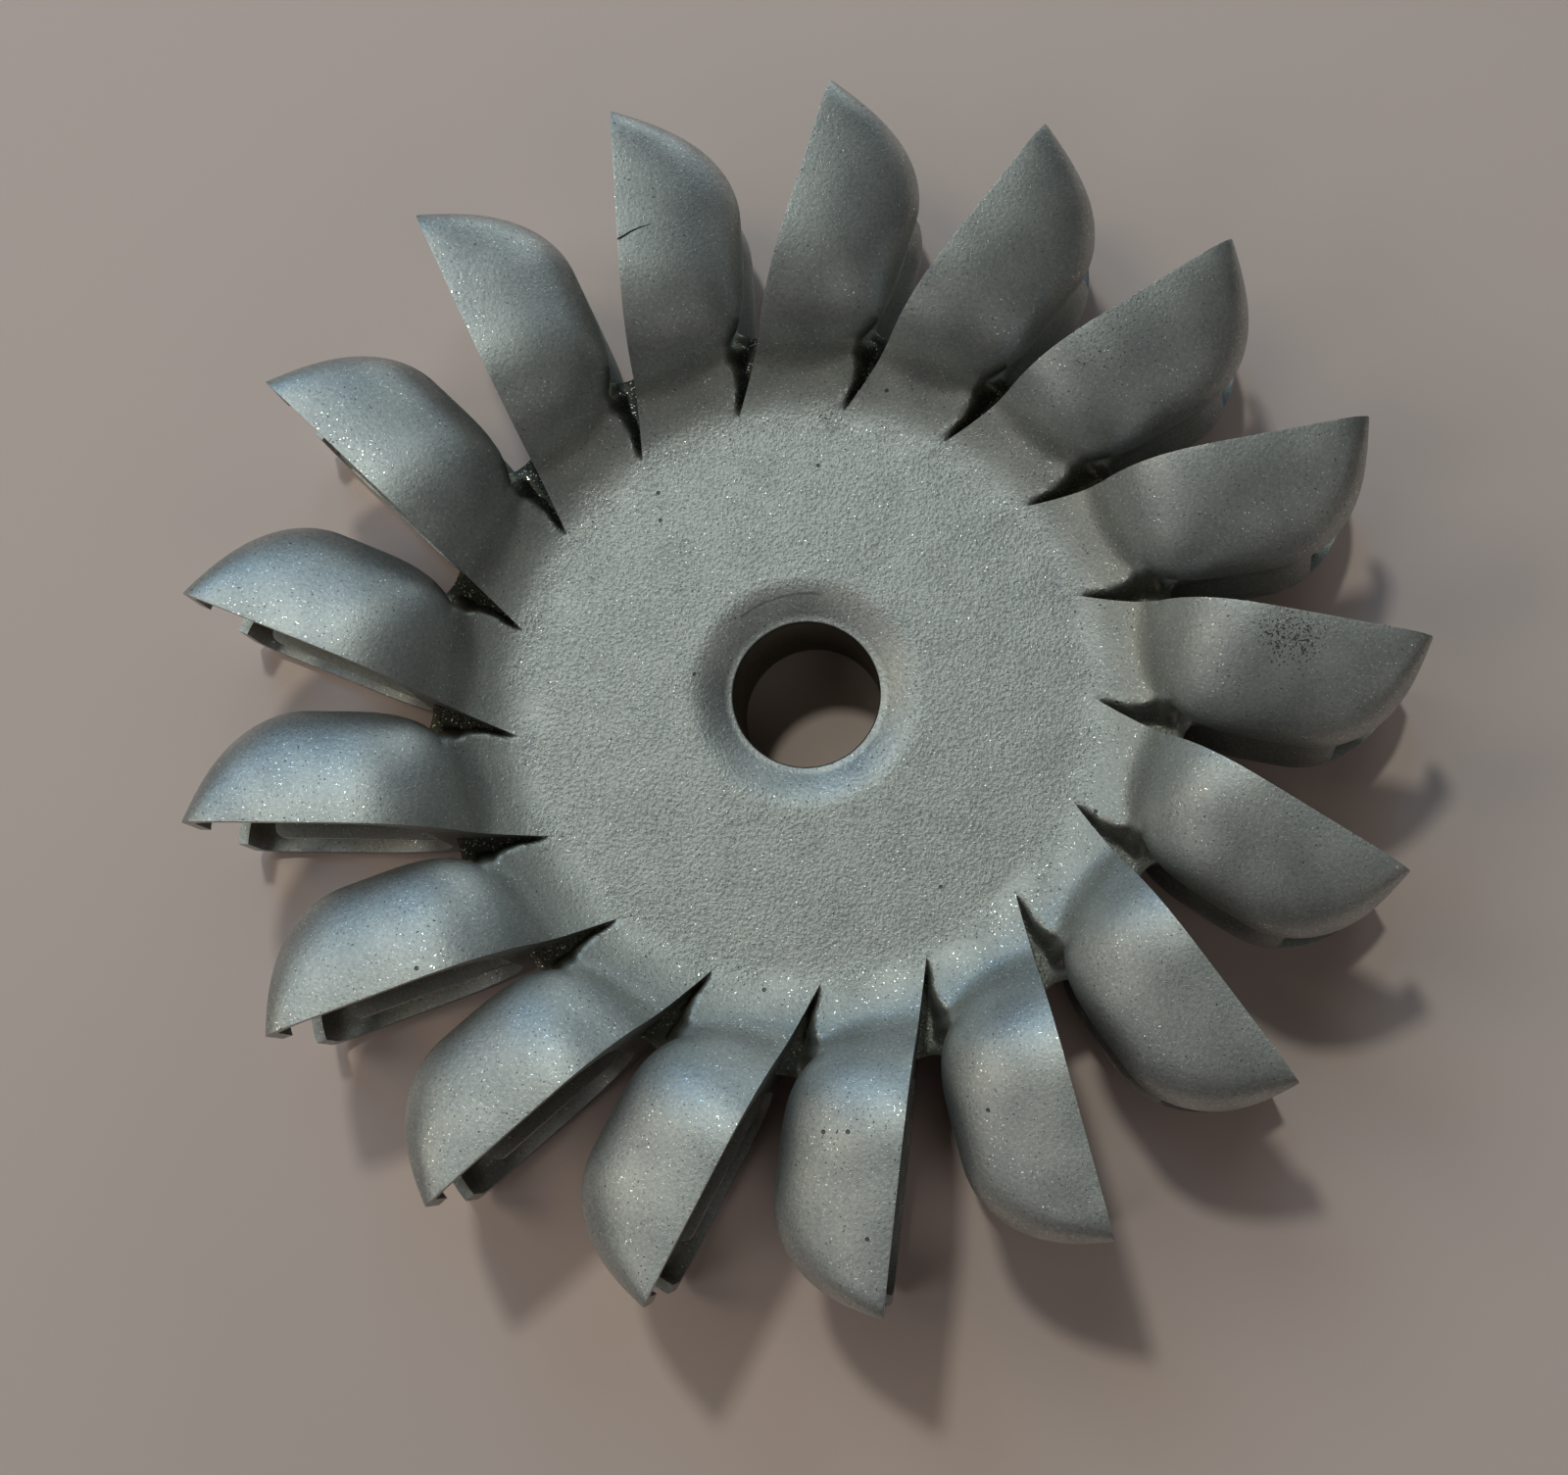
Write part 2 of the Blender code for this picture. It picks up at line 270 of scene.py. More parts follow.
# %% From a field to a mesh
def surface_net(field, low, step):
    """A mesh of the zero level of a field on a grid: one point a cell, one quad a crossed edge."""
    size = np.array(field.shape) - 1
    total, count = np.zeros((*size, 3)), np.zeros(size, int)
    loops = []
    for a in range(3):
        b, c = (a + 1) % 3, (a + 2) % 3
        near, far = np.delete(field, -1, a), np.delete(field, 0, a)
        at = np.argwhere((near < 0) != (far < 0))
        f0, f1 = near[tuple(at.T)], far[tuple(at.T)]
        place = at.astype(float)
        place[:, a] += f0 / (f0 - f1)
        ring = []
        for db, dc in ((1, 1), (0, 1), (0, 0), (1, 0)):
            cell = at.copy()
            cell[:, b] -= db
            cell[:, c] -= dc
            ok = np.all((cell >= 0) & (cell < size), axis=1)
            np.add.at(total, tuple(cell[ok].T), place[ok])
            np.add.at(count, tuple(cell[ok].T), 1)
            ring.append(np.where(ok[:, None], cell, -1))
        whole = np.all([r[:, 0] >= 0 for r in ring], axis=0)
        ring = [r[whole] for r in ring]
        inward = (f0 > 0)[whole]
        loops.append((ring, inward))
    used = count > 0
    number = np.full(size, -1)
    number[used] = np.arange(used.sum())
    points = total[used] / count[used][:, None] * step + low
    faces = []
    for ring, inward in loops:
        quad = np.stack([number[tuple(r.T)] for r in ring], axis=1)
        quad[inward] = quad[inward][:, ::-1]
        faces.append(quad)
    return points, np.concatenate(faces)


STEP = 0.45
cups_tree = BVHTree.FromPolygons(*outer_cups)
ROOM = (0.9, 1.3, 0.9)            # the grid's room past the tip, the open face and the side
grid_low = np.array((21.8, 0.2, 0.0))
grid_high = np.array((TIP, FACE, HALF_WIDTH)) + ROOM
axes = [np.arange(l, h, STEP) for l, h in zip(grid_low, grid_high)]
grid = np.stack(np.meshgrid(*axes, indexing="ij"), -1)
flat = grid.reshape(-1, 3)
half_field = casting_distance(flat, skin_distance(flat, cups_tree)).reshape(grid.shape[:3])
field = np.concatenate([half_field[:, :, :0:-1], half_field], axis=2)
field = np.pad(field, 1, constant_values=1.0)
low = np.array((axes[0][0], axes[1][0], -axes[2][-1])) - STEP
skin_points, skin_faces = surface_net(field, low, STEP)
print("grid", field.shape, "skin", len(skin_points), "points")


# %% Settle the points on the skin
def settled(points, rounds):
    """Moves points along the field's slope until they lie on the skin, so that it shades smoothly."""
    inner = np.all((points > low + 1.6 * STEP) & (points[:, 1:2] < FACE + ROOM[1] - STEP), axis=1)
    moving = points[inner]
    for _ in range(rounds):
        value = casting_distance(moving, skin_distance(moving, cups_tree))
        slope = np.empty_like(moving)
        for a in range(3):
            nudged = moving.copy()
            nudged[:, a] += 0.02
            slope[:, a] = (casting_distance(nudged, skin_distance(nudged, cups_tree)) - value) / 0.02
        steep = np.maximum((slope ** 2).sum(1), 0.25)
        move = -(value / steep)[:, None] * slope
        length = np.linalg.norm(move, axis=1, keepdims=True)
        moving = moving + move * np.minimum(1, 0.3 * STEP / np.maximum(length, 1e-9))
    points = points.copy()
    points[inner] = moving
    return points


skin_points = settled(skin_points, 2)
print("skin settled")


# %% Small helpers for meshes
def mesh_object(name, points, faces):
    """A mesh object from millimetre points, kept in millimetres until it is finished."""
    mesh = bpy.data.meshes.new(name)
    mesh.from_pydata([tuple(p) for p in points], [], [tuple(int(i) for i in f) for f in faces])
    thing = bpy.data.objects.new(name, mesh)
    bpy.context.collection.objects.link(thing)
    return thing


def with_normals_out(thing):
    """The same object with all its faces turned outward."""
    shape = bmesh.new()
    shape.from_mesh(thing.data)
    bmesh.ops.recalc_face_normals(shape, faces=shape.faces)
    shape.to_mesh(thing.data)
    shape.free()
    return thing


def prism(name, outline, low, high):
    """A flat outline in X and Y, raised from one height to another."""
    count = len(outline)
    points = [(x, y, low) for x, y in outline] + [(x, y, high) for x, y in outline]
    faces = [tuple(reversed(range(count))), tuple(range(count, 2 * count))]
    faces += [(i, (i + 1) % count, count + (i + 1) % count, count + i) for i in range(count)]
    return with_normals_out(mesh_object(name, points, faces))


def carve(thing, cutter, operation):
    """Applies one exact boolean and throws the cutter away."""
    modifier = thing.modifiers.new("carve", "BOOLEAN")
    modifier.operation = operation
    modifier.solver = "EXACT"
    modifier.object = cutter
    bpy.context.view_layer.update()
    ready = thing.evaluated_get(bpy.context.evaluated_depsgraph_get())
    mesh = bpy.data.meshes.new_from_object(ready)
    thing.modifiers.clear()
    thing.data = mesh
    bpy.data.objects.remove(cutter, do_unlink=True)


print("helpers ready")

# %% [markdown]
# ## Cutting the bucket out
#
# The field gives a blank that is a little too big everywhere it meets something. The saw cuts are
# flat: the bucket's own open face, the next bucket's open face, and the circle where the hub takes
# over. Straight boolean cuts keep those edges crisp, as they are on the wheel.

# %% The sector that belongs to one bucket
ARC_STEPS = 24


def sector_outline():
    """The plan of one bucket's share of the wheel, counter-clockwise."""
    start = math.asin(FACE / HUB_EDGE)
    arc = [start - PITCH * i / ARC_STEPS for i in range(ARC_STEPS + 1)]
    outline = [(HUB_EDGE * math.cos(a), HUB_EDGE * math.sin(a)) for a in arc]
    far = TIP + 4
    outline.append((far, (FACE - math.sin(PITCH) * far) / math.cos(PITCH)))
    outline.append((far, FACE))
    return outline


bucket = mesh_object("bucket", skin_points, skin_faces)
carve(bucket, prism("sector", sector_outline(), -20, 20), "INTERSECT")
print("bucket in its sector", len(bucket.data.polygons), "faces")

# %% [markdown]
# ## The cups
#
# Each cup is a smooth bowl. The wall between the two bowls is the splitter, which divides the
# jet; its edge is thin and its nose stands square in front of a notch in the outer lip. The bowls
# are drawn as rows of half ellipses, a wall's thickness inside the outer form.

# %% The bowls
WALL, RIDGE_HALF = 1.1, 0.45
CUP_ROOT, CUP_ROOT_EDGE = 39.2, 5.6
BOWL_STEPS = 28


def bowl_cut(share, reach, sign):
    """One cut across a bowl, from above the open face down and up again."""
    floor = (DEPTH - WALL) * quarter(share)
    outer = HALF_WIDTH - WALL
    if reach > TIP - TIP_CORNER - WALL:
        drop = quarter((reach - TIP + TIP_CORNER + WALL) / TIP_CORNER)
        outer = TIP_HALF_WIDTH - WALL + (HALF_WIDTH - TIP_HALF_WIDTH) * drop
    if reach < DOME_START:
        narrow = quarter((DOME_START - reach) / (DOME_START - CUP_ROOT))
        outer = CUP_ROOT_EDGE + (outer - CUP_ROOT_EDGE) * narrow
    middle, spread = (outer + RIDGE_HALF) / 2, (outer - RIDGE_HALF) / 2
    cut = [(FACE + 2, sign * outer)]
    for step in range(BOWL_STEPS + 1):
        turn = math.pi * step / BOWL_STEPS
        cut.append((FACE - floor * math.sin(turn), sign * (middle + spread * math.cos(turn))))
    cut.append((FACE + 2, sign * RIDGE_HALF))
    return cut


def bowl(sign):
    """The hollow of one cup as a solid to cut with."""
    cuts = []
    for angle in (88, 80, 70, 58, 45, 30, 15):
        share = math.sin(math.radians(angle))
        reach = DEEPEST - (DEEPEST - CUP_ROOT) * share
        cuts.append((reach, bowl_cut(share ** 1.6, reach, sign)))
    for angle in (0, 15, 30, 43, 55, 65, 73, 80, 85, 88.5):
        share = math.sin(math.radians(angle))
        reach = DEEPEST + (TIP - WALL - DEEPEST) * share
        cuts.append((reach, bowl_cut(share, reach, sign)))
    return with_normals_out(mesh_object("bowl", *joined(cuts)))


for side in (1, -1):
    carve(bucket, bowl(side), "DIFFERENCE")
print("bucket with cups", len(bucket.data.polygons), "faces")

# %% The notch and the nose
NOTCH_HALF, NOSE = 6.4, 56.9
NOSE_ROUND = 1.1


def nose_outline():
    """The notch seen along the axis, with the nose's upper corner rounded."""
    outline = [(NOSE, -6), (TIP + 4, -6), (TIP + 4, FACE + 3), (NOSE - NOSE_ROUND, FACE + 3)]
    for step in range(9):
        turn = math.pi / 2 * step / 8
        outline.append((NOSE - NOSE_ROUND + NOSE_ROUND * math.sin(turn),
                        FACE - NOSE_ROUND + NOSE_ROUND * math.cos(turn)))
    return outline


carve(bucket, prism("notch", nose_outline(), -NOTCH_HALF, NOTCH_HALF), "DIFFERENCE")
print("bucket with its notch", len(bucket.data.polygons), "faces")


# %% Metres, smooth faces and crisp saw cuts
def finished(thing, angle=38):
    """Millimetres become metres, close points merge, and only real edges stay sharp."""
    shape = bmesh.new()
    shape.from_mesh(thing.data)
    bmesh.ops.remove_doubles(shape, verts=shape.verts, dist=0.0005)
    bmesh.ops.dissolve_degenerate(shape, dist=0.0005, edges=shape.edges)
    bmesh.ops.holes_fill(shape, edges=[e for e in shape.edges if e.is_boundary], sides=8)
    bmesh.ops.triangulate(shape, faces=[f for f in shape.faces if len(f.verts) > 4])
    for face in shape.faces:
        face.smooth = True
    bmesh.ops.scale(shape, vec=(MM, MM, MM), verts=shape.verts)
    open_edges = sum(not e.is_manifold for e in shape.edges)
    shape.to_mesh(thing.data)
    shape.free()
    thing.data.set_sharp_from_angle(angle=math.radians(angle))
    return open_edges


print("open edges left on the bucket:", finished(bucket))

# %% [markdown]
# ## A cracked rim
#
# One bucket has a crack: it starts at the rim and runs up over the cup, about four millimetres
# long and as thin as a hair at its end. It is cut for real, through the wall, with a thin bent
# wedge, so it also shows from inside the cup.

# %% The crack
CRACK = [(47.9, 16.4, 0.15), (48.0, 15.85, 0.14), (48.4, 15.1, 0.12), (48.85, 14.4, 0.1),
         (49.3, 13.4, 0.08), (49.7, 12.1, 0.02)]


def cracked_copy(source, name):
    """A copy of a mesh in metres with the crack cut through its upper cup."""
    left = [((x - half) * MM, y * MM) for x, y, half in CRACK]
    right = [((x + half) * MM, (y + half * 0.5) * MM) for x, y, half in reversed(CRACK)]
    thing = bpy.data.objects.new(name, source.copy())
    bpy.context.collection.objects.link(thing)
    carve(thing, prism("wedge", left + right, 10.5 * MM, 15 * MM), "DIFFERENCE")
    return thing


cracked = cracked_copy(bucket.data, "cracked bucket")
print("crack cut,", len(cracked.data.polygons) - len(bucket.data.polygons), "more faces")

# %% [markdown]
# ## Remembering how far the saw cuts are
#
# Later the finish needs to know where a rim, the thin web or the inside of a cup is. The bucket's
# own frame makes that easy now, so three distances are kept on the points: to the next bucket's
# open face, to its own, and inwards from the outer skin. Geometry Nodes carries them along to all
# seventeen copies.


# %% Distances kept on the points
def keep_on_points(mesh, name, triples):
    """Stores three numbers for every point of a mesh."""
    layer = mesh.attributes.new(name, "FLOAT_VECTOR", "POINT")
    layer.data.foreach_set("vector", np.asarray(triples, dtype=np.float32).ravel())


def points_of(mesh):
    """A mesh's points as an array in millimetres."""
    found = np.empty(len(mesh.vertices) * 3, dtype=np.float32)
    mesh.vertices.foreach_get("co", found)
    return found.reshape(-1, 3).astype(float) / MM


for thing in (bucket, cracked):
    at = points_of(thing.data)
    inwards = -casting_distance(at, skin_distance(at, cups_tree))
    x, y, _ = at.T
    keep_on_points(thing.data, "gaps", np.stack([slot_distance(x, y), FACE - y, inwards], 1))
print("distances kept on", len(bucket.data.vertices), "points")

# %% [markdown]
# ## One small class for node maths
#
# Materials and Geometry Nodes both work out numbers with Math nodes. Wiring those by hand is slow
# to write and slower to read. The class below wraps one socket, so that a line such as
# `1 - mask * 0.5` adds the nodes by itself. Any other node comes from one method that takes the
# node's type, its settings, and then what goes into its sockets.

# %% The wrapped socket
class Value:
    """A node's output that can be used in sums."""

    def __init__(self, tree, socket):
        self.tree, self.socket = tree, socket

    def maths(self, operation, *others, flip=False):
        """One Math node; flip puts this value behind the other one."""
        node = self.tree.nodes.new("ShaderNodeMath")
        node.operation = operation
        terms = [self, *others]
        if flip:
            terms.reverse()
        for socket, term in zip(node.inputs, terms):
            connect(self.tree, term, socket)
        return Value(self.tree, node.outputs[0])

    def __add__(self, other): return self.maths("ADD", other)
    def __radd__(self, other): return self.maths("ADD", other)
    def __sub__(self, other): return self.maths("SUBTRACT", other)
    def __rsub__(self, other): return self.maths("SUBTRACT", other, flip=True)
    def __mul__(self, other): return self.maths("MULTIPLY", other)
    def __rmul__(self, other): return self.maths("MULTIPLY", other)
    def most(self, other): return self.maths("MAXIMUM", other)
    def size(self): return self.maths("ABSOLUTE")
    def sine(self): return self.maths("SINE")

    def between(self, low, high):
        """0 below low, 1 above high, soft in between."""
        return add_node(self.tree, "ShaderNodeMapRange", {"interpolation_type": "SMOOTHSTEP"},
                        Value=self, From_Min=low, From_Max=high)


def connect(tree, term, socket):
    """Puts a number, a colour or a wrapped socket into a socket."""
    if isinstance(term, Value):
        tree.links.new(term.socket, socket)
    elif term is not None:
        socket.default_value = term


def add_node(tree, kind, settings=None, output=0, **inputs):
    """Adds a node, sets it up, fills its sockets by name (spaces as underscores), returns an output."""
    node = tree.nodes.new(kind)
    for name, setting in (settings or {}).items():
        setattr(node, name, setting)
    for name, term in inputs.items():
        key = name.replace("_", " ")
        named = [s for s in node.inputs if s.enabled and (s.name == key or s.identifier == name)]
        connect(tree, term, named[0])
    return Value(tree, node.outputs[output])


print("node maths ready")

# %% [markdown]
# ## Seventeen buckets
#
# What repeats is left to Geometry Nodes. The tree takes the one bucket, puts a copy on the axis
# for each number, and turns each copy by its share of the circle. It ends in real geometry and the
# material. Three meshes of about six buckets each are made, so that no mesh gets too heavy.

# %% The ring tree
def ring_tree():
    """Copies its geometry round Z: inputs First, Count, Pitch and Material."""
    tree = bpy.data.node_groups.new("ring of buckets", "GeometryNodeTree")
    face = tree.interface
    face.new_socket("Bucket", in_out="INPUT", socket_type="NodeSocketGeometry")
    face.new_socket("First", in_out="INPUT", socket_type="NodeSocketInt")
    face.new_socket("Count", in_out="INPUT", socket_type="NodeSocketInt")
    face.new_socket("Pitch", in_out="INPUT", socket_type="NodeSocketFloat")
    face.new_socket("Material", in_out="INPUT", socket_type="NodeSocketMaterial")
    face.new_socket("Ring", in_out="OUTPUT", socket_type="NodeSocketGeometry")
    given = tree.nodes.new("NodeGroupInput")
    first, count, pitch = (Value(tree, given.outputs[n]) for n in ("First", "Count", "Pitch"))
    seats = add_node(tree, "GeometryNodePoints", Count=count, Radius=0.001)
    number = add_node(tree, "GeometryNodeInputIndex") + first
    angle = math.pi / 2 - (number - 1) * pitch
    turn = add_node(tree, "ShaderNodeCombineXYZ", Z=angle)
    copies = add_node(tree, "GeometryNodeInstanceOnPoints", Points=seats,
                      Instance=Value(tree, given.outputs["Bucket"]), Rotation=turn)
    solid = add_node(tree, "GeometryNodeRealizeInstances", Geometry=copies)
    dressed = add_node(tree, "GeometryNodeSetMaterial", Geometry=solid,
                       Material=Value(tree, given.outputs["Material"]))
    out = tree.nodes.new("NodeGroupOutput")
    connect(tree, dressed, out.inputs["Ring"])
    return tree


def made_by(tree, source, name, **inputs):
    """Runs a tree on a mesh and keeps the result as a plain mesh object at the origin."""
    thing = bpy.data.objects.new(name, source)
    bpy.context.collection.objects.link(thing)
    modifier = thing.modifiers.new("made by", "NODES")
    modifier.node_group = tree
    sockets = {s.name: s.identifier for s in tree.interface.items_tree if s.in_out == "INPUT"}
    for key, term in inputs.items():
        modifier[sockets[key]] = term
    bpy.context.view_layer.update()
    ready = thing.evaluated_get(bpy.context.evaluated_depsgraph_get())
    mesh = bpy.data.meshes.new_from_object(ready)
    mesh.name = name
    thing.modifiers.clear()
    thing.data = mesh
    return thing


bronze = bpy.data.materials.new("blasted bronze")
bronze.use_nodes = True
ring = ring_tree()
groups = ((bucket, 1, 6), (bucket, 7, 6), (bucket, 13, 4), (cracked, 17, 1))
bucket_pieces = []
for source, first, count in groups:
    name = f"buckets_{first:02d}_to_{first + count - 1:02d}" if count > 1 else "cracked_bucket_17"
    piece = made_by(ring, source.data, name, First=first, Count=count, Pitch=PITCH,
                    Material=bronze)
    bucket_pieces.append(piece)
    print(name, sum(len(p.vertices) - 2 for p in piece.data.polygons), "triangles")
for source in (bucket, cracked):
    bpy.data.objects.remove(source, do_unlink=True)

# %% [markdown]
# ## Not quite alike
#
# The buckets of a real casting are never evenly spaced: the wax or sand pattern sags a little as it
# is handled. On this wheel a run of four buckets leans forward by up to three quarters of a degree.
# Only the part outside the disc leans, so the skins still meet at the root.

# %% Leaning buckets
LEANS = {1: 0.08, 2: 0.34, 3: 0.72, 4: 0.73, 5: 0.58, 6: 0.32, 7: 0.13, 9: -0.1, 10: 0.1,
         12: 0.1, 13: 0.15, 15: -0.15, 16: -0.2}


def lean(piece, first, count):
    """Turns the outer part of each bucket in a piece by its own small angle, in degrees."""
    at = points_of(piece.data)
    each = len(at) // count
    angles = [math.radians(LEANS.get(first + i, 0.0)) for i in range(count)]
    turn = np.repeat(angles, each) * smooth_step(np.hypot(at[:, 0], at[:, 1]), 31.5, 44.0)
    x, y, z = at.T
    moved = np.stack([x * np.cos(turn) - y * np.sin(turn), x * np.sin(turn) + y * np.cos(turn), z], 1)
    piece.data.vertices.foreach_set("co", (moved * MM).astype(np.float32).ravel())
    piece.data.update()


for piece, (_, first, count) in zip(bucket_pieces, groups):
    lean(piece, first, count)
print("buckets that lean:", len(LEANS))

# %% [markdown]
# ## The hub
#
# The disc, the dish round its bore and the boss below are round, so they are turned: one outline
# swept about the axis. Light falls into the bore and shows a wall that runs down almost to the
# table, so the boss is that long; from above only the dish and a narrow ring are seen. The
# outline's last points stand on the circle where the buckets' sectors begin, at the same angles
# as the sectors' own points, so the two skins meet without a step.

# %% The hub's outline
BORE, BORE_EDGE = 7.85, 0.3
LAND, LAND_HEIGHT = 8.55, 1.6     # the narrow ring round the bore, at the foot of the dish
DISH = 12.6                       # the dish runs out into the flat disc here
BOSS, BOSS_FOOT, BOSS_END = 10.4, 11.8, 13.6


def dish_height(radius):
    """Height of the hub's upper skin: flat, then a soft hollow down to the ring at the bore."""
    share = min(max((radius - LAND) / (DISH - LAND), 0.0), 1.0)
    return LAND_HEIGHT + (DISC_HALF - LAND_HEIGHT) * (1 - (1 - share) ** 1.6)


def boss_skin():
    """The lower skin's radii and heights: the disc, a flared foot, the boss and its end."""
    foot = []
    for step in range(9):
        turn = math.pi / 2 * step / 8
        foot.append((BOSS_FOOT - (BOSS_FOOT - BOSS) * math.sin(turn),
                     -DISC_HALF - 1.6 * (1 - math.cos(turn))))
    round_end = [(BOSS - 0.5 * (1 - math.cos(a)), -BOSS_END + 0.5 * (1 - math.sin(a)))
                 for a in (0, math.radians(30), math.radians(60), math.pi / 2)]
    return foot + [(BOSS, -8.0)] + round_end


def hub_outline():
    """Closed outline in radius and height, from the bore's upper edge round and back."""
    flat = [13.2, 14, 16.5, 19, 21.5, 24, 26, HUB_EDGE]
    dish = [LAND + (DISH - LAND) * i / 14 for i in range(15)]
    upper = [(r, dish_height(r)) for r in [BORE + BORE_EDGE] + dish + flat]
    lower = [(r, -DISC_HALF) for r in reversed(flat)] + boss_skin()
    edge = [(BORE + BORE_EDGE * (1 - math.cos(a)), LAND_HEIGHT - BORE_EDGE * (1 - math.sin(a)))
            for a in (0, math.radians(30), math.radians(60))]
    end = [(BORE + BORE_EDGE, -BOSS_END), (BORE, -BOSS_END + BORE_EDGE)]
    return edge + upper + lower + end


def turned(name, outline, first_angle, steps):
    """Sweeps a closed outline about Z into a mesh."""
    angles = [first_angle + 2 * math.pi * i / steps for i in range(steps)]
    points = [(r * math.cos(a), r * math.sin(a), z) for a in angles for r, z in outline]
    length = len(outline)
    faces = []
    for i in range(steps):
        j = (i + 1) % steps
        for k in range(length):
            m = (k + 1) % length
            faces.append((i * length + k, j * length + k, j * length + m, i * length + m))
    return with_normals_out(mesh_object(name, points, faces))


hub = turned("hub_with_dish_and_boss", hub_outline(), math.pi / 2 + math.asin(FACE / HUB_EDGE),
             BUCKETS * ARC_STEPS)
# the bore gets its own material, painted dark for the shade inside the bore
bored = bpy.data.materials.new("bored bronze")
bored.use_nodes = True
hub.data.materials.append(bronze)
hub.data.materials.append(bored)
print("open edges left on the hub:", finished(hub))
for face in hub.data.polygons:
    if math.hypot(*face.center[:2]) < (BORE + BORE_EDGE * 0.5) * MM:
        face.material_index = 1

# %% [markdown]
# ## Marks that have a place
#
# A few marks on the casting are in one spot only: gas pits, and patches of worn pits on a few
# buckets. Their places are read off the photograph in its own pixels. A ray from the camera
# through such a pixel meets the skin in the point where the mark belongs, so it stays on the metal
# when the wheel is seen from any other side.

# %% From a pixel of the photograph to a point on the skin
pieces = [*bucket_pieces, hub]
skins = [BVHTree.FromObject(thing, bpy.context.evaluated_depsgraph_get()) for thing in pieces]


def on_skin(across, down):
    """The point in millimetres where the camera's ray through a pixel meets the wheel."""
    eye = camera.matrix_world.translation
    ray = Vector(((across - CENTRE_PIXELS[0]) / FOCAL_PIXELS,
                  (CENTRE_PIXELS[1] - down) / FOCAL_PIXELS, -1))
    ray = (camera.matrix_world.to_3x3() @ ray).normalized()
    hits = [hit for hit in (skin.ray_cast(eye, ray) for skin in skins) if hit[0]]
    return min(hits, key=lambda hit: hit[3])[0] / MM


lone_pits = np.array([on_skin(*pixel) for pixel in (
    (709, 688), (865, 1155), (885, 1265), (840, 1155), (425, 988), (1140, 717), (1118, 828),
    (905, 399), (835, 475), (672, 503), (780, 1010), (960, 905), (674, 531), (1008, 1133))])
worn_patches = [(np.array(on_skin(x, y)), reach, share) for x, y, reach, share in
                ((1318, 650, 4.2, 0.7), (1325, 640, 3.0, 0.5), (1135, 345, 6.0, 0.22),
                 (1165, 320, 5.0, 0.2), (960, 330, 3.0, 0.1))]
print(len(lone_pits), "lone pits,", len(worn_patches), "worn patches")

# %% [markdown]
# ## Blasted bronze
#
# The whole casting was blasted with fine grit. That leaves a dull champagne grey with countless
# tiny facets, and the few that face the light sparkle. Here those sparkles are painted highlights:
# near-white dots in the base colour, whichever way they face. On the disc and along the webs the
# sand mould's own grain still shows and is coarse; on the buckets the pattern was smooth. Painted
# shade darkens the necks, the crease at the backs of the cups, the slots and the insides of the
# cups. What changes slowly over the wheel, such as how coarse it is, is worked out here for each
# point of the mesh and kept there. Only the fine grain is left to texture nodes, which keeps the
# renders quick.


# %% What each point knows about its finish and its painted shade
FAR = 99.0                        # stands for no rim, no slot and no seam near
CREASE_RADIUS = 37.2              # painted shade is darkest round this radius, in the crease where the backs of the cups meet the necks
SEAM_RADIUS = 10.8                # a fine arc that the pattern left in the dish


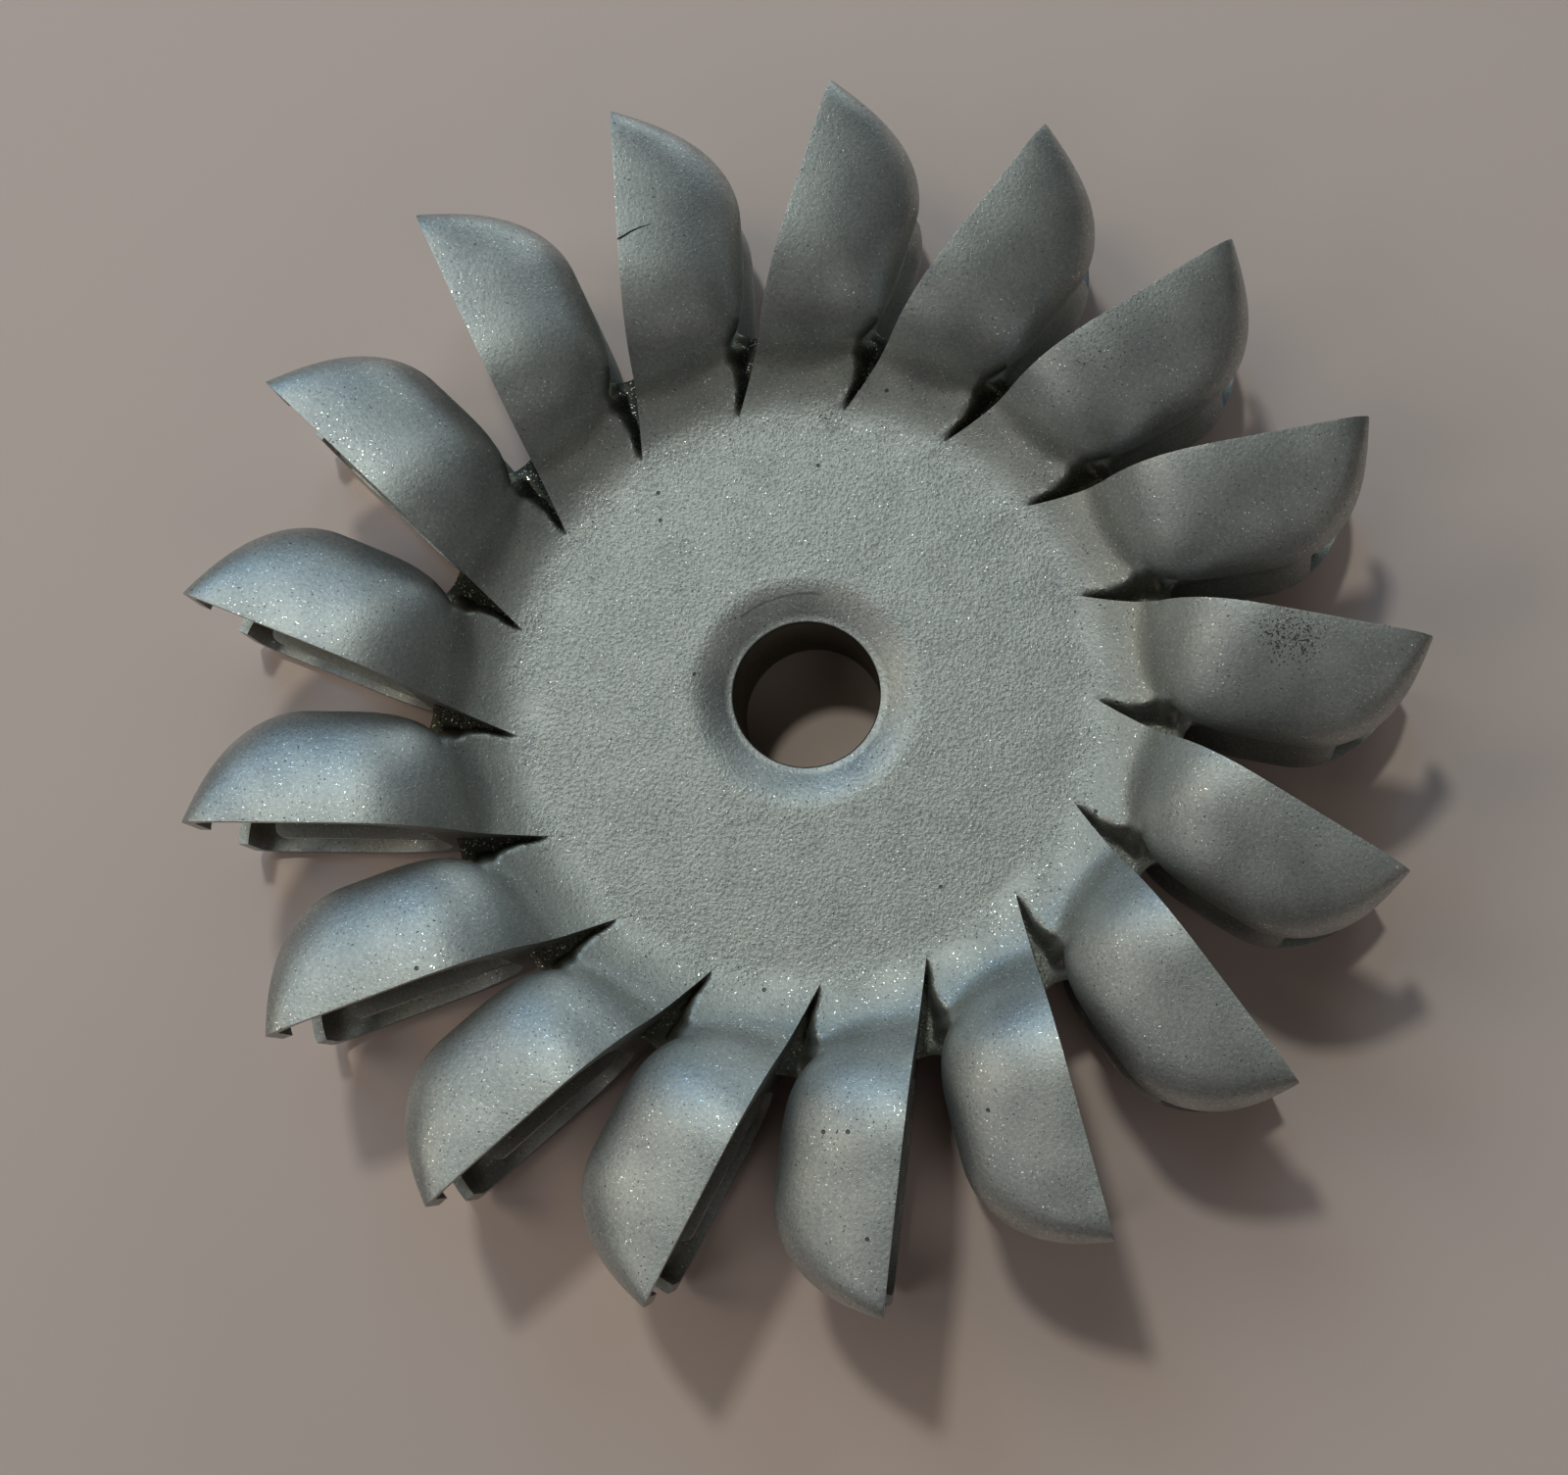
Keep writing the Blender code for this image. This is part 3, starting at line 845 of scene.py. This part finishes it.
def keep_finish_and_painted_shade(thing):
    """Keeps coarseness, painted shade and wear, then the seam and the unevenness, then a pit."""
    mesh = thing.data
    at = points_of(mesh)
    radius = np.hypot(at[:, 0], at[:, 1])
    above_next, below_own, inwards = (np.full(len(at), far) for far in (FAR, FAR, 0.0))
    if "gaps" in mesh.attributes:
        kept = np.empty(len(at) * 3, dtype=np.float32)
        mesh.attributes["gaps"].data.foreach_get("vector", kept)
        above_next, below_own, inwards = kept.reshape(-1, 3).T
        mesh.attributes.remove(mesh.attributes["gaps"])
    uneven = np.array([noise_at(Vector(p) * 0.25) for p in at])
    disc = 1 - smooth_step(radius + uneven * 4, 28.5, 32.5)
    disc = disc * (0.3 + 0.7 * smooth_step(radius, 10.0, 13.0))
    low = 1 - smooth_step(np.abs(at[:, 2]), 5.0, 9.0)
    web = (1 - smooth_step(above_next, 0.9, 1.5)) * smooth_step(radius, 31, 33)
    web = web * (radius < WEB_RADIUS + 1)
    coarse = np.maximum(disc, web * 0.9)
    neck = smooth_step(radius, 30, 34) * (1 - smooth_step(radius, 37.5, 42)) * low
    crease = np.exp(-((radius - CREASE_RADIUS) / 0.9) ** 2)
    inside = smooth_step(inwards, 0.5, 1.0) * (1 - smooth_step(-below_own, -1.5, -0.3))
    turn = np.degrees(np.arctan2(at[:, 1], at[:, 0]))
    edge = np.interp(radius, EDGE_RADII, EDGE_GAPS) + np.interp(radius, EDGE_RADII, EDGE_RISES)
    wall = 1 - smooth_step(above_next, edge * 0.6, edge * 1.1)
    wall = wall * smooth_step(radius, 31, 33) * (radius < WEB_RADIUS + 0.6) * low
    # painted shade in the slots, strongest round 150 degrees on the wheel, where the rims keep the key
    # lamp out
    slot_shade_by_direction = smooth_step(np.cos(np.radians(turn - 150)), -0.9, 0.4)
    # painted shade along the necks, deeper in the crease at the backs of the cups
    painted_shade = neck * np.maximum(0.3, 0.45 * crease)
    painted_shade = np.maximum(painted_shade, wall * (0.5 + 1.3 * slot_shade_by_direction))
    # painted shade inside the cups
    painted_shade = np.maximum(painted_shade, 0.75 * inside)
    wear = np.zeros(len(at))
    for place, reach, share in worn_patches:
        far = np.linalg.norm(at - place, axis=1) + uneven * 1.5
        wear = np.maximum(wear, (1 - smooth_step(far, reach * 0.3, reach)) * share)
    # coarseness and wear are the metal's own; the middle number is painted shade
    keep_on_points(mesh, "finish_and_shade", np.stack([coarse, painted_shade, wear], 1))
    on_dish = (turn > 98) & (turn < 148) & (at[:, 2] > 0)
    seam = np.where(on_dish, radius - SEAM_RADIUS, FAR)
    keep_on_points(mesh, "lines", np.stack([seam, uneven, np.zeros(len(at))], 1))
    far = np.linalg.norm(at[:, None, :] - lone_pits[None, :, :], axis=2)
    keep_on_points(mesh, "pit", lone_pits[far.argmin(1)] * MM)


for piece in pieces:
    keep_finish_and_painted_shade(piece)
print("finish kept on", sum(len(piece.data.vertices) for piece in pieces), "points")


# %% Helpers for the fine grain
def noise(tree, at, scale, detail=0.0, **more):
    """Noise with about so many lumps in a millimetre."""
    return add_node(tree, "ShaderNodeTexNoise", output="Fac", Vector=at, Scale=scale / MM,
                    Detail=detail, **more)


def parts_of(tree, triple):
    """The three numbers of a vector or a colour."""
    split = add_node(tree, "ShaderNodeSeparateXYZ", Vector=triple).socket.node
    return [Value(tree, socket) for socket in split.outputs]


def kept(tree, name):
    """Three numbers that were kept on the points."""
    return add_node(tree, "ShaderNodeAttribute", {"attribute_name": name}, output="Vector")


def mixed(tree, share, first, second):
    """A colour between two colours."""
    return add_node(tree, "ShaderNodeMix", {"data_type": "RGBA"}, output=COLOUR_RESULT,
                    Factor=share, A=first, B=second)


COLOUR_RESULT = 2                 # a Mix node's third output is the one for colours
BRONZE = (0.64, 0.64, 0.60, 1)
BRONZE_DULL = (0.36, 0.37, 0.37, 1)
# near white, painted into the base colour as highlights
PAINTED_GLINT_WHITE = (1.0, 1.0, 0.96, 1)
# the colour of painted shade: necks, crease, slots and cup insides
PAINTED_SHADE_BROWN = (0.20, 0.19, 0.14, 1)
# dark of real pits and of the seam, and also of the deepest painted shade in the slots
PIT_AND_SHADE_DARK = (0.035, 0.035, 0.03, 1)
print("material helpers ready")


# %% The finish itself
def dress_bronze(material):
    """Grain, painted glints, pits, a seam line and painted shade, all from the object's own
    coordinates.
    """
    tree = material.node_tree
    at = add_node(tree, "ShaderNodeTexCoord", output="Object")
    coarse, painted_shade, wear = parts_of(tree, kept(tree, "finish_and_shade"))
    seam, uneven, _ = parts_of(tree, kept(tree, "lines"))
    grain = noise(tree, at, 2.6, 1.0, Roughness=0.7)
    fine = noise(tree, at, 4.4)
    # painted highlights: a share of the fine lumps become bright dots, whatever light falls on them
    painted_glint = fine.between(0.71 - coarse * 0.06, 0.80)
    pit = 1 - fine.between(0.14 + wear * 0.27 + coarse * 0.03, 0.22 + wear * 0.27 + coarse * 0.03)
    lone = add_node(tree, "ShaderNodeVectorMath", {"operation": "DISTANCE"}, output="Value",
                    Vector=at, Vector_001=kept(tree, "pit"))
    pit = pit.most(1 - lone.between(0.12 * MM, 0.26 * MM))
    line = (1 - seam.size().between(0.04, 0.2)) * 0.4

    swing = (grain - 0.5) * (1.1 + coarse * 1.0) + uneven * 0.35 + 0.4 + coarse * 0.45
    tone = mixed(tree, swing, BRONZE_DULL, BRONZE)
    # painted shade: necks, crease, slots and cup insides are darkened
    tone = mixed(tree, painted_shade, tone, PAINTED_SHADE_BROWN)
    # painted shade past 1, in the slots, goes on towards near black
    tone = mixed(tree, painted_shade - 1, tone, PIT_AND_SHADE_DARK)
    # painted highlights: the bright dots are mixed towards near white
    tone = mixed(tree, painted_glint * (0.7 + coarse * 0.2), tone, PAINTED_GLINT_WHITE)
    tone = mixed(tree, (pit * 0.75).most(line), tone, PIT_AND_SHADE_DARK)
    height = grain * (0.03 + coarse * 0.09) + painted_glint * (0.01 + coarse * 0.02) - pit * 0.1
    bump = add_node(tree, "ShaderNodeBump", Height=height, Distance=MM, Strength=1.0)

    shader = tree.nodes["Principled BSDF"]
    connect(tree, tone, shader.inputs["Base Color"])
    connect(tree, coarse * 0.08 + 0.52 - painted_glint * 0.25, shader.inputs["Roughness"])
    connect(tree, bump, shader.inputs["Normal"])
    shader.inputs["Metallic"].default_value = 0.9


def dress_bored(material):
    """The bored wall, painted dark for the shade inside the bore, with the fine rings that the boring
    tool left.
    """
    tree = material.node_tree
    at = add_node(tree, "ShaderNodeTexCoord", output="Object")
    _, _, z = parts_of(tree, at)
    rings = (z * (2.6 / MM)).sine() + (z * (7.1 / MM)).sine() * 0.6
    shader = tree.nodes["Principled BSDF"]
    # painted shade: the bore's colour stays near black
    tone = mixed(tree, rings * 0.12 + 0.5, (0.10, 0.09, 0.07, 1), (0.19, 0.17, 0.13, 1))
    connect(tree, tone, shader.inputs["Base Color"])
    connect(tree, rings * 0.04 + 0.42, shader.inputs["Roughness"])
    bump = add_node(tree, "ShaderNodeBump", Height=rings, Distance=0.006 * MM, Strength=1.0)
    connect(tree, bump, shader.inputs["Normal"])
    shader.inputs["Metallic"].default_value = 0.9


dress_bronze(bronze)
dress_bored(bored)
print("bronze dressed with", len(bronze.node_tree.nodes), "nodes")

# %% [markdown]
# ## What moves with what
#
# A runner is one casting, so every piece rides on the same body. Each piece also hides the solids
# of the CAD model that it takes the place of.

# %% Where each piece rides
for piece, (_, first, count) in zip(bucket_pieces, groups):
    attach(piece, "root")
    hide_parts(*(f"bucket_{n:02d}" for n in range(first, first + count)))
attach(hub, "root")
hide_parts("hub_disc", "hub_boss")
print(len(pieces), "pieces ride on the casting's body")

# %% [markdown]
# ## The floor and the light
#
# The wheel lies on a plain pale floor. The photograph's crisp shadows all point away from one
# small lamp, high at the upper left. Everything else in that room is wide and soft, so a few big
# weak lamps stand for its windows. Blasted metal mirrors them as broad sheens, and a round lamp
# gives a sheen without corners.

# %% Floor
FLOOR_GAP = 0.0002                # keeps the floor just clear of the metal


def floor_at(height):
    """A plain pale floor under the wheel."""
    mesh = bpy.data.meshes.new("floor")
    reach = 1.6
    mesh.from_pydata([(-reach, -reach, height), (reach, -reach, height),
                      (reach, reach, height), (-reach, reach, height)], [], [(0, 1, 2, 3)])
    thing = bpy.data.objects.new("floor", mesh)
    bpy.context.collection.objects.link(thing)
    paint = bpy.data.materials.new("pale floor")
    paint.use_nodes = True
    shader = paint.node_tree.nodes["Principled BSDF"]
    shader.inputs["Base Color"].default_value = (0.84, 0.66, 0.60, 1)
    shader.inputs["Roughness"].default_value = 0.9
    mesh.materials.append(paint)
    return thing


floor = floor_at(cad_low.z - FLOOR_GAP)
print("floor at", round(floor.data.vertices[0].co.z, 4))


# %% Lights
def lamp_at(compass, tilt, size, watts, colour, name):
    """A round lamp one metre off: compass degrees round the axis, tilt degrees from overhead."""
    flat = math.sin(math.radians(tilt))
    place = Vector((flat * math.cos(math.radians(compass)), flat * math.sin(math.radians(compass)),
                    math.cos(math.radians(tilt))))
    data = bpy.data.lights.new(name, "AREA")
    data.shape = "DISK"
    data.size = size
    data.energy = watts
    data.color = colour
    lamp = bpy.data.objects.new(name, data)
    lamp.location = place
    lamp.rotation_euler = (-place).to_track_quat("-Z", "Y").to_euler()
    bpy.context.collection.objects.link(lamp)
    return lamp


lamp_at(128, 26, 0.09, 1.7, (0.94, 1.0, 0.90), "key")
lamp_at(135, 50, 0.5, 1.4, (0.33, 0.66, 1.0), "window, upper left")
lamp_at(180, 50, 0.5, 1.25, (1.0, 0.96, 0.78), "room lamp, left")
lamp_at(225, 50, 0.5, 0.75, (1.0, 1.0, 1.0), "window, lower left")
lamp_at(90, 78, 0.7, 1.8, (0.79, 0.95, 1.0), "low sky")
lamp_at(-30, 45, 0.6, 0.45, (1.0, 1.0, 0.97), "room, right")
world = bpy.data.worlds.new("room")
world.use_nodes = True
world.node_tree.nodes["Background"].inputs["Color"].default_value = (1.0, 0.95, 0.86, 1)
world.node_tree.nodes["Background"].inputs["Strength"].default_value = 0.02
bpy.context.scene.world = world
bpy.context.scene.view_settings.view_transform = "Standard"
